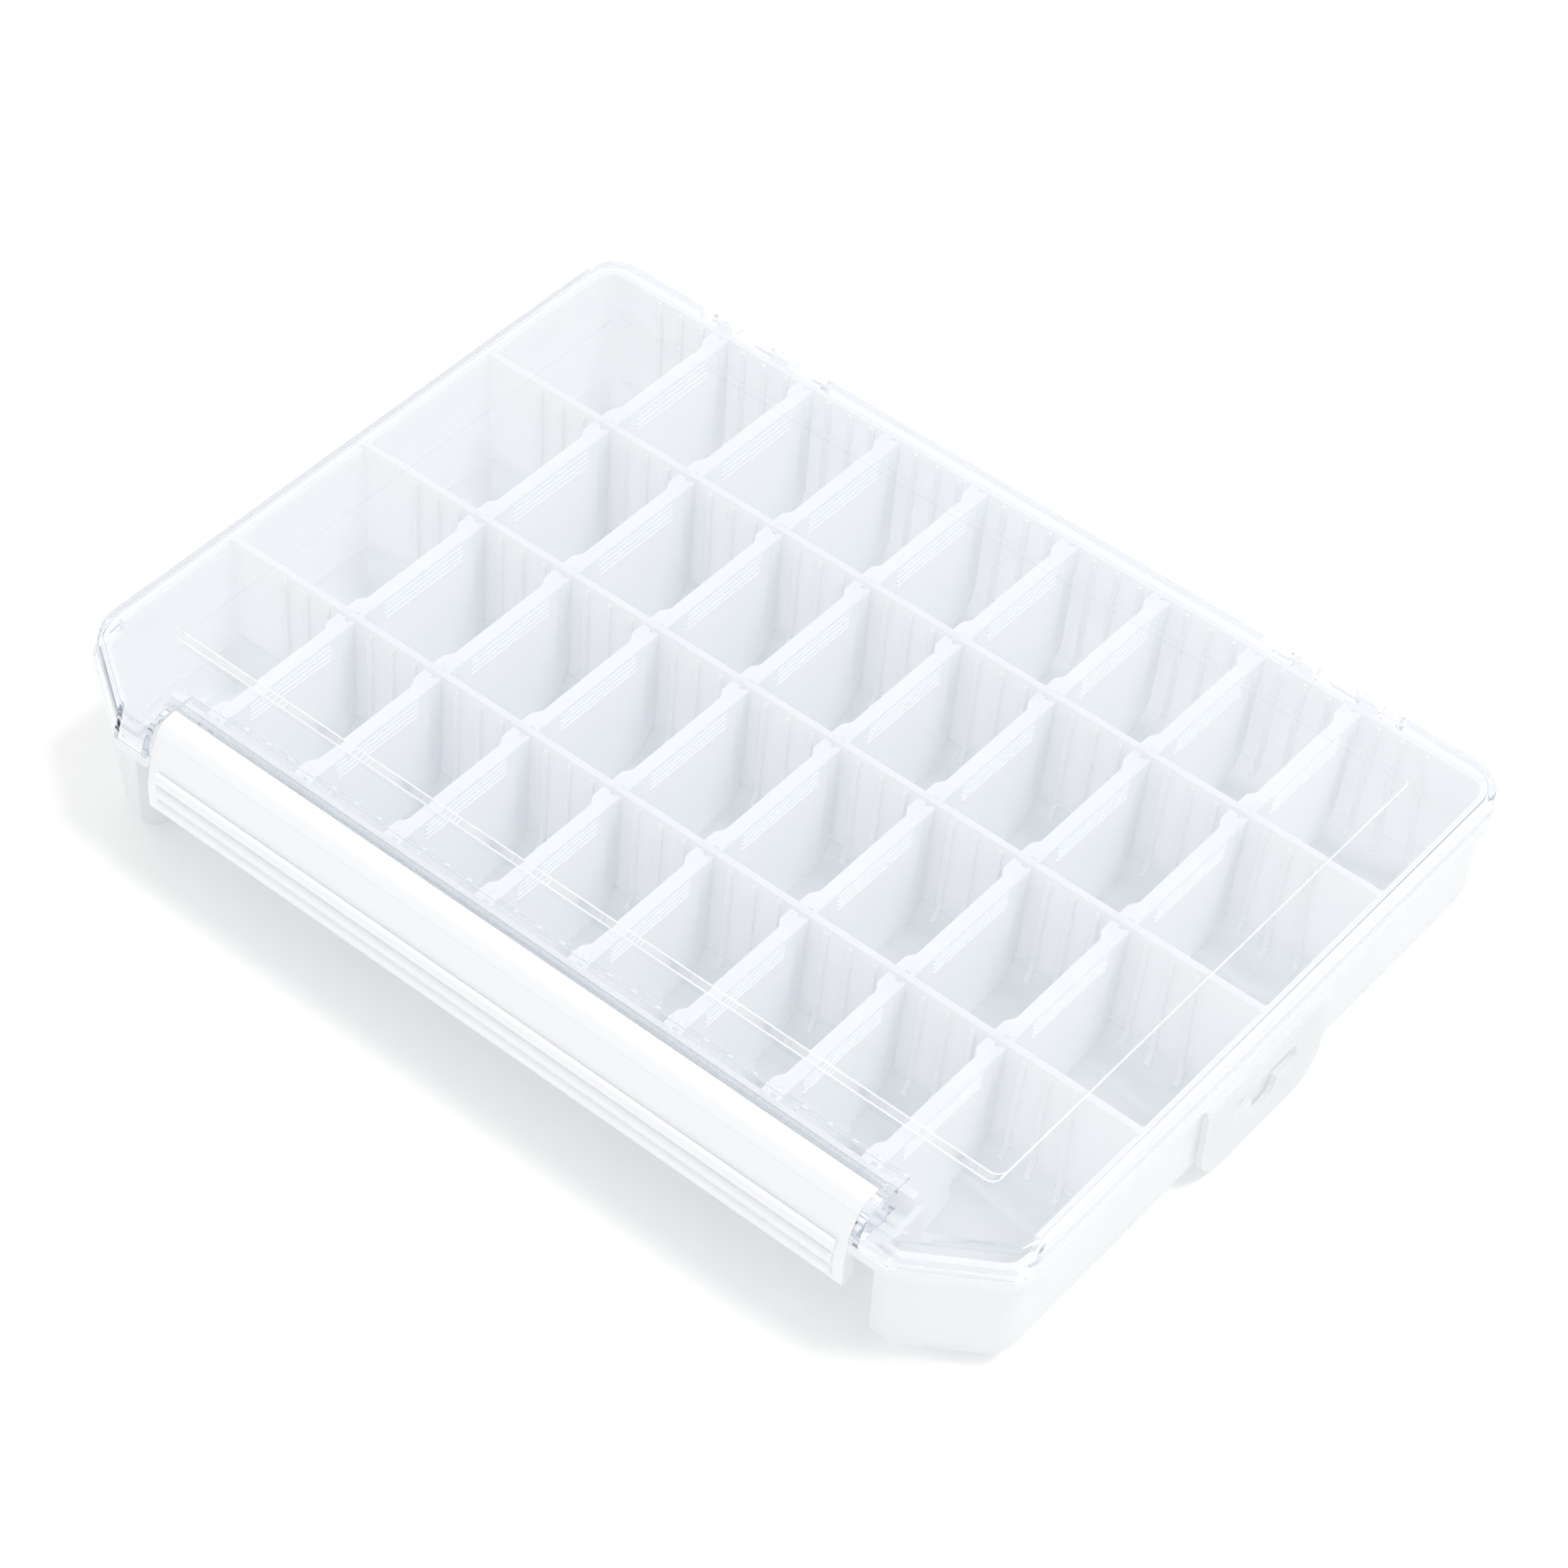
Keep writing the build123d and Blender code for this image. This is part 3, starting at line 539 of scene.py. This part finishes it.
stem = [(stem_root_y, hinge_axis[1] - clip_stem / 2), (stem_end_y, hinge_axis[1] - clip_stem / 2),
        (stem_end_y, hinge_axis[1] + clip_stem / 2), (stem_root_y, hinge_axis[1] + clip_stem / 2)]
clips = []
for side in (-1, 1):
    for centre in clip_centres:
        start = side * centre - clip_width / 2
        clips.append(combine(prism("clip", clip_outline, "x", start, start + clip_width),
                             [prism("stem", stem, "x", start, start + clip_width)], "UNION"))
tray_mesh = smooth(combine(tray_mesh, [rail] + clips, "UNION"))

# Natural polypropylene, as moulded: milky, so light passes and scatters in it, with a soft waxy gloss and
# a fine grain. The floors, the ledge and the outside have a faint mottle about 15 mm across, from the flow
# of the melt. The thin walls and the ribs are too white for one.
def milky_plastic(name, colour, alpha, glow_share, roughness, mottle_mm=15):
    """A mottle of two colours; alpha is how solid it looks, glow_share how much light goes on through."""
    grain_mm, grain_depth_mm = 0.6, 0.05
    material, tree = new_material(name)
    place = add_node(tree, "ShaderNodeTexCoord")
    flow = add_node(tree, "ShaderNodeTexNoise", {
        "Vector": place.outputs["Object"], "Scale": 1 / (mottle_mm * mm), "Detail": 2.0, "Roughness": 0.5})
    tint = add_node(tree, "ShaderNodeMix", {0: flow.outputs[0], 6: linear(colour[0]), 7: linear(colour[1])},
                    data_type="RGBA")
    grain = add_node(tree, "ShaderNodeTexNoise", {
        "Vector": place.outputs["Object"], "Scale": 1 / (grain_mm * mm), "Detail": 1.0})
    bump = add_node(tree, "ShaderNodeBump", {
        "Strength": 0.04, "Distance": grain_depth_mm * mm, "Height": grain.outputs[0]})
    body = add_node(tree, "ShaderNodeBsdfPrincipled", {
        "Base Color": tint.outputs[2], "Roughness": roughness, "IOR": 1.49, "Alpha": alpha,
        "Normal": bump.outputs[0]})
    glow = add_node(tree, "ShaderNodeBsdfTranslucent", {"Color": tint.outputs[2]})
    through = add_node(tree, "ShaderNodeMixShader", {0: glow_share, 1: body.outputs[0], 2: glow.outputs[0]})
    add_node(tree, "ShaderNodeOutputMaterial", {"Surface": through.outputs[0]})
    return material


natural_pp = milky_plastic("natural_polypropylene_walls", ("FFFFFF", "FFFFFF"), 0.8, 0.5, 0.32)
# The floors are clearer than the walls, and their two colours a shade greyer than the walls' white: painted shade at
# the troughs' bottoms.
floor_pp = milky_plastic("natural_polypropylene_floor", ("F7F9FA", "FBFCFD"), 0.34, 0.35, 0.12)
thick_pp = milky_plastic("natural_polypropylene_thick", ("F8FAFB", "FAFCFD"), 0.85, 0.4, 0.32)
outside_pp = milky_plastic("natural_polypropylene_outside", ("F6F7F8", "F9FAFA"), 1.0, 0.5, 0.34)
rib_pp = milky_plastic("natural_polypropylene_ribs", ("FFFFFF", "FFFFFF"), 1.0, 0.06, 0.3)


def tray_choice(centre, normal):
    """The ledge and crests, the outside, the curved floors and the walls, told by place and by facing."""
    side = 1 if centre.x > 0 else -1
    outside = (normal.x * side > 0.15 or normal.y > 0.15 and centre.y > rear_wall_y - outer_r
               or normal.y < -0.15 and centre.y < front_wall_y + outer_r
               or abs(centre.x * side - pod_x) < 0.1 and centre.y < front_wall_y)
    if centre.z > ledge_bottom - 0.3 and abs(normal.z) > 0.5:
        return 2
    if outside:
        return 3
    return 1 if centre.z < 8 else 0


tray = new_piece("tray_shell", paint(tray_mesh, [natural_pp, floor_pp, thick_pp, outside_pp], tray_choice))
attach(tray, "tray")
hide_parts("tray")

# The ribs stand on both long sides of every trough and run down round the bottom corner. One rib is
# drawn, and set out along the walls at the dividers' quarter pitch.
rib_width, rib_depth, rib_top = 1.2, 0.9, 35.0
rib_pitch, rib_mid_x, rib_count, short_rib_count = 25.47 / 4, 0.5, 35, 31
rib_root, rib_foot_angle, rib_foot_steps = 0.3, 40, 7
rib_profile = [(-rib_root, rib_top + 0.6), (rib_depth * 0.5, rib_top + 0.3), (rib_depth, rib_top - 0.8)]
centre_z = floor_thickness + inner_r
for step in range(rib_foot_steps + 1):
    t = step / rib_foot_steps
    turn = math.radians(rib_foot_angle * t)
    reach_in = inner_r - rib_depth * (1 - 0.5 * t)
    rib_profile.append((inner_r - reach_in * math.cos(turn), centre_z - reach_in * math.sin(turn)))
for step in range(rib_foot_steps + 1):
    turn = math.radians(rib_foot_angle * (1 - step / rib_foot_steps))
    reach_in = inner_r + rib_root
    rib_profile.append((inner_r - reach_in * math.cos(turn), centre_z - reach_in * math.sin(turn)))
rib_mesh = smooth(prism("rib", rib_profile, "x", -rib_width / 2, rib_width / 2))


def grid_tree(name, material):
    """Sets copies of the piece out on a grid, from inputs for its counts, pitches, middle and turn."""
    tree = bpy.data.node_groups.new(name, "GeometryNodeTree")
    face = tree.interface
    face.new_socket("Geometry", in_out="INPUT", socket_type="NodeSocketGeometry")
    sockets = {}
    for label, kind in (("Columns", "Int"), ("Rows", "Int"), ("Column pitch", "Float"), ("Row pitch", "Float"),
                        ("Middle", "Vector"), ("Turn", "Float"), ("Painted part", "Bool")):
        sockets[label] = face.new_socket(label, in_out="INPUT", socket_type="NodeSocket" + kind).identifier
    face.new_socket("Geometry", in_out="OUTPUT", socket_type="NodeSocketGeometry")
    given = tree.nodes.new("NodeGroupInput")
    spans = []
    for count, pitch in (("Columns", "Column pitch"), ("Rows", "Row pitch")):
        gaps = add_node(tree, "ShaderNodeMath", {0: given.outputs[count], 1: 1.0}, operation="SUBTRACT")
        spans.append(add_node(tree, "ShaderNodeMath", {
            0: gaps.outputs[0], 1: given.outputs[pitch]}, operation="MULTIPLY"))
    grid = add_node(tree, "GeometryNodeMeshGrid", {
        "Size X": spans[0].outputs[0], "Size Y": spans[1].outputs[0],
        "Vertices X": given.outputs["Columns"], "Vertices Y": given.outputs["Rows"]})
    moved = add_node(tree, "GeometryNodeSetPosition", {
        "Geometry": grid.outputs["Mesh"], "Offset": given.outputs["Middle"]})
    turn = add_node(tree, "ShaderNodeCombineXYZ", {"Z": given.outputs["Turn"]})
    copies = add_node(tree, "GeometryNodeInstanceOnPoints", {
        "Points": moved.outputs[0], "Instance": given.outputs["Geometry"], "Rotation": turn.outputs[0]})
    real = add_node(tree, "GeometryNodeRealizeInstances", {0: copies.outputs[0]})
    coloured = add_node(tree, "GeometryNodeSetMaterial", {
        "Geometry": real.outputs[0], "Selection": given.outputs["Painted part"], "Material": material})
    given_out = tree.nodes.new("NodeGroupOutput")
    tree.links.new(coloured.outputs[0], given_out.inputs[0])
    return tree, sockets


def set_out(name, mesh, material, columns, row_count, column_pitch, pitch_y, middle, turn=0.0, repaint=True):
    """One plain mesh of all the copies, in one material unless the piece keeps its own."""
    piece = new_piece(name, mesh)
    tree, sockets = grid_tree(name + "_grid", material)
    layout = piece.modifiers.new("layout", "NODES")
    layout.node_group = tree
    values = {"Columns": columns, "Rows": row_count, "Column pitch": column_pitch * mm, "Row pitch": pitch_y * mm,
              "Middle": tuple(v * mm for v in middle), "Turn": turn, "Painted part": repaint}
    for label, value in values.items():
        layout[sockets[label]] = value
    result = bpy.data.meshes.new_from_object(piece.evaluated_get(bpy.context.evaluated_depsgraph_get()))
    bpy.data.objects.remove(piece)
    return result


def join(name, meshes, material):
    """Several meshes as one piece."""
    form = bmesh.new()
    for mesh in meshes:
        form.from_mesh(mesh)
    whole = bpy.data.meshes.new(name)
    form.to_mesh(whole)
    form.free()
    return new_piece(name, whole, material)


rib_sets = [
    set_out("ribs_rear", rib_mesh.copy(), rib_pp, rib_count, 3, rib_pitch, row_pitch,
            (rib_mid_x, rows_mid_y + row_pitch / 2 - half_row, 0)),
    set_out("ribs_latch_side", rib_mesh.copy(), rib_pp, short_rib_count, 1, rib_pitch, row_pitch,
            (rib_mid_x, row_centre(0) - half_row, 0)),
    set_out("ribs_facing", rib_mesh.copy(), rib_pp, rib_count, 4, rib_pitch, row_pitch,
            (rib_mid_x, rows_mid_y + half_row, 0), math.pi),
]
ribs = join("tray_ribs", rib_sets, rib_pp)
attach(ribs, "tray")


# ---------------------------------------------------------------- dividers
# Thin plates of the same polypropylene that drop in between the ribs: a round-cornered web with a flange
# along its top and ends, ears at the top corners, and moulded grip lines for the fingers.
frame_half, web, divider_top = 1.65, 0.9, 36.0
divider_gap = 0.15
band_depth, rim_depth = 3.6, 1.6
ear_reach, ear_length, ear_taper = 3.0, 3.3, 2.8
half_divider = half_row - divider_gap


def web_line(inset):
    """The web's outline, drawn in by a width at its ends and round its bottom."""
    half, foot, radius = half_divider - inset, floor_thickness + divider_gap + inset, inner_r - divider_gap - inset
    corners = [(-half, divider_top), (-half, foot), (half, foot), (half, divider_top)]
    return rounded(corners, [0, radius, radius, 0], 14)


lip_width, lip_height = 0.8, 0.15
divider_mesh = prism("web", web_line(0), "x", frame_half - web, frame_half - 0.05)
lip_outline = web_line(0)[1:-1] + web_line(lip_width)[1:-1][::-1]
lip = prism("lip", lip_outline, "x", frame_half - web - lip_height, frame_half - 0.02)
band_bottom, band_inside = floor_thickness + inner_r, half_divider - band_depth
bands = [prism("band", [(side * half_divider, band_bottom), (side * band_inside, band_bottom),
                        (side * band_inside, divider_top), (side * half_divider, divider_top)],
               "x", -frame_half, frame_half) for side in (-1, 1)]
ear_y = half_divider - ear_length


def ear_curve(side):
    """The soft S from the ear's edge to the rim's."""
    points = []
    for step in range(9):
        t = step / 8
        blend = (1 - math.cos(math.pi * t)) / 2
        points.append((-ear_reach + (ear_reach - frame_half) * blend, side * (ear_y - ear_taper * t)))
    return points


rim_outline = [(frame_half, -half_divider), (frame_half, half_divider), (-ear_reach, half_divider)]
rim_outline += ear_curve(1) + ear_curve(-1)[::-1] + [(-ear_reach, -half_divider)]
rim = prism("rim", rim_outline, "z", divider_top - rim_depth, divider_top)
divider_mesh = combine(divider_mesh, [lip] + bands + [rim], "UNION")
groove_half, groove_y = rib_width / 2 + divider_gap, half_row - rib_depth - divider_gap
divider_mesh = combine(divider_mesh, [
    block((-groove_half, groove_half), sorted((side * groove_y, side * far)), (below, above))
    for side in (-1, 1)], "DIFFERENCE")
grip_half, grip_height, grip_sunk = 12.4, 0.25, 0.1
grips = [prism("grip", circle((frame_half - grip_sunk, z), grip_height + grip_sunk, 8), "y", -grip_half, grip_half)
         for z in (34.6, 33.2, 31.8, 30.4)]
divider_mesh = smooth(combine(divider_mesh, grips, "UNION"))

divider_pp = milky_plastic("divider_polypropylene_web", ("FEFFFF", "FFFFFF"), 0.85, 0.4, 0.3, 22)
divider_edge_pp = milky_plastic("divider_polypropylene_edges", ("F9FBFD", "FDFEFF"), 0.9, 0.35, 0.3, 22)


def divider_choice(centre, normal):
    """The flat of the web inside its frame, and everything else."""
    inside_frame = abs(centre.y) < band_inside and floor_thickness + 1 < centre.z < divider_top - rim_depth
    return 0 if abs(normal.x) > 0.9 and inside_frame else 1


paint(divider_mesh, [divider_pp, divider_edge_pp], divider_choice)
divider_pitch, dividers_per_row = 4 * rib_pitch, 8
divider_set = set_out("divider_set", divider_mesh, divider_pp, dividers_per_row, rows, divider_pitch, row_pitch,
                      (rib_mid_x, rows_mid_y, 0), repaint=False)
dividers = new_piece("dividers", divider_set)
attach(dividers, "tray")
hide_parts(*[f"divider_r{row + 1}_c{column + 1}"
                        for row in range(rows) for column in range(dividers_per_row)])


# ---------------------------------------------------------------- latch
# An opaque white cover in glossy ABS, the full width of the bay. It swings up on a pin at each end, hooks
# under the tray's ledge, and has three beads along its lower edge to pull it by.
latch_half, latch_wall = 95.2, 1.6
latch_front = [(-84.7, 39.5), (-88.7, 39.0), (-90.8, 36.3), (-92.9, 30.5), (-94.2, 24.6), (-94.2, 17.3)]
latch_rounds = [0, 1.6, 5.0, 9.0, 4.0, 0]


def offset_line(points, amount):
    """An open line moved sideways, its corners kept sharp."""
    sides = []
    for (a, b), (c, d) in zip(points, points[1:]):
        length = math.hypot(c - a, d - b)
        normal = (-(d - b) / length, (c - a) / length)
        sides.append((normal, normal[0] * a + normal[1] * b + amount))
    first, last = sides[0], sides[-1]
    moved = [(points[0][0] + first[0][0] * amount, points[0][1] + first[0][1] * amount)]
    for (n1, d1), (n2, d2) in zip(sides, sides[1:]):
        cross = n1[0] * n2[1] - n1[1] * n2[0]
        moved.append(((d1 * n2[1] - d2 * n1[1]) / cross, (n1[0] * d2 - n2[0] * d1) / cross))
    moved.append((points[-1][0] + last[0][0] * amount, points[-1][1] + last[0][1] * amount))
    return moved


inside = offset_line(latch_front, latch_wall)
outer_rounds = latch_rounds[1:-1]
inner_rounds = [max(0, radius - latch_wall) for radius in outer_rounds[::-1]]
skin_outline = rounded(latch_front + inside[::-1], [0.5] + outer_rounds + [0.4, 0.4] + inner_rounds + [0.3], 6)
bead_depth, bead_height, bead_y, bead_half = 1.0, 3.2, -94.0, 92.4
hook_top, hook_tip, hook_thick, hook_half = 28.15, -84.9, 1.8, 88.0
face_y, face_bottom = latch_front[-1]
latch_parts = [prism("skin", skin_outline, "x", -latch_half, latch_half)]
for z in (27.8, 23.8, 19.8):
    ridge = [(bead_y + bead_depth * y, z + bead_height / 2 * rise) for y, rise in circle((0, 0), 1, 28)]
    latch_parts.append(prism("bead", ridge, "x", -bead_half, bead_half))
hook_root, hook_bottom = face_y + latch_wall - overlap, hook_top - hook_thick
latch_parts.append(prism("hook", [
    (hook_root, hook_top), (hook_tip, hook_top), (hook_tip, hook_top - hook_thick / 2),
    (hook_tip - hook_thick, hook_bottom), (hook_root, hook_bottom)], "x", -hook_half, hook_half))
cheek_back = [(face_y + 3.6, face_bottom), (face_y + 3.8, hook_top), (-88.4, 34.4),
              (pivot[0] + 1.2, pivot[1] - 2.2), (-84.4, 38.2)]
cheek_outline = rounded(offset_line(latch_front, overlap) + cheek_back,
                        [0.5] + outer_rounds + [0.4, 0.5, 1.0, 0.8, 1.0, 0.4], 6)
pin_r, pin_end = 1.2, 97.3
cheek_inside, cheek_outside = latch_half - latch_wall, latch_half - 0.03
for side in (-1, 1):
    latch_parts.append(prism("cheek", cheek_outline, "x", side * cheek_inside, side * cheek_outside))
    latch_parts.append(prism("pin", circle(pivot, pin_r, 20), "x", side * (cheek_inside + 0.3), side * pin_end))

# Gloss ABS moulded against polished steel: opaque white with a clean, slightly soft reflection.
white_abs, tree = new_material("white_abs_gloss_moulded")
place = add_node(tree, "ShaderNodeTexCoord")
ripple_mm = 25
ripple = add_node(tree, "ShaderNodeTexNoise", {
    "Vector": place.outputs["Object"], "Scale": 1 / (ripple_mm * mm), "Detail": 1.0})
tint = add_node(tree, "ShaderNodeMix", {
    0: ripple.outputs[0], 6: linear("F2F3F5"), 7: linear("F4F5F6")}, data_type="RGBA")
body = add_node(tree, "ShaderNodeBsdfPrincipled", {
    "Base Color": tint.outputs[2], "Roughness": 0.16, "IOR": 1.52})
add_node(tree, "ShaderNodeOutputMaterial", {"Surface": body.outputs[0]})
latch = new_piece("latch_cover", smooth(combine(latch_parts[0], latch_parts[1:], "UNION")), white_abs)
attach(latch, "latch")
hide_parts("latch")


# ---------------------------------------------------------------- hang tab
# A plate of the tray's polypropylene on a film hinge, with a hole for a shop's peg. It lies folded down
# against the right end.
tab_x, tab_thick, tab_bottom, tab_corner = 126.0, 1.4, 2.0, 9.0
tab_top = fold_z - fold_gap
low_y, high_y = tab_mid_y - tab_width / 2, tab_mid_y + tab_width / 2
tab_outline = rounded([(low_y, tab_top), (low_y, tab_bottom), (high_y, tab_bottom), (high_y, tab_top)],
                      [0, tab_corner, tab_corner, 0], 12)
tab_mesh = prism("tab", tab_outline, "x", tab_x, tab_x + tab_thick)
slot_half, slot_low, slot_high, slot_end_r = 11, 14.5, 19.5, 2.49
peg_z, peg_r, cut_x = 13.3, 4.5, (120, 130)
slot_outline = rounded([(tab_mid_y - slot_half, slot_low), (tab_mid_y + slot_half, slot_low),
                        (tab_mid_y + slot_half, slot_high), (tab_mid_y - slot_half, slot_high)], slot_end_r, 8)
tab_mesh = combine(tab_mesh, [prism("slot", slot_outline, "x", *cut_x),
                              prism("round", circle((tab_mid_y, peg_z), peg_r), "x", *cut_x)], "DIFFERENCE")
half_thick = tab_thick / 2
for sign in (-1, 1):
    edge_x, fold_line = tab_x + half_thick + sign * half_thick, tab_x + half_thick
    wedge = prism("wedge", [
        (edge_x + sign, tab_top + 1), (fold_line, tab_top + 1), (fold_line, tab_top),
        (edge_x, tab_top - half_thick), (edge_x + sign, tab_top - half_thick - 1)], "y", -far, far)
    tab_mesh = combine(tab_mesh, [wedge], "DIFFERENCE")
hang_tab = new_piece("hang_tab_plate", smooth(tab_mesh), outside_pp)
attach(hang_tab, "hang_tab")
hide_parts("hang_tab")
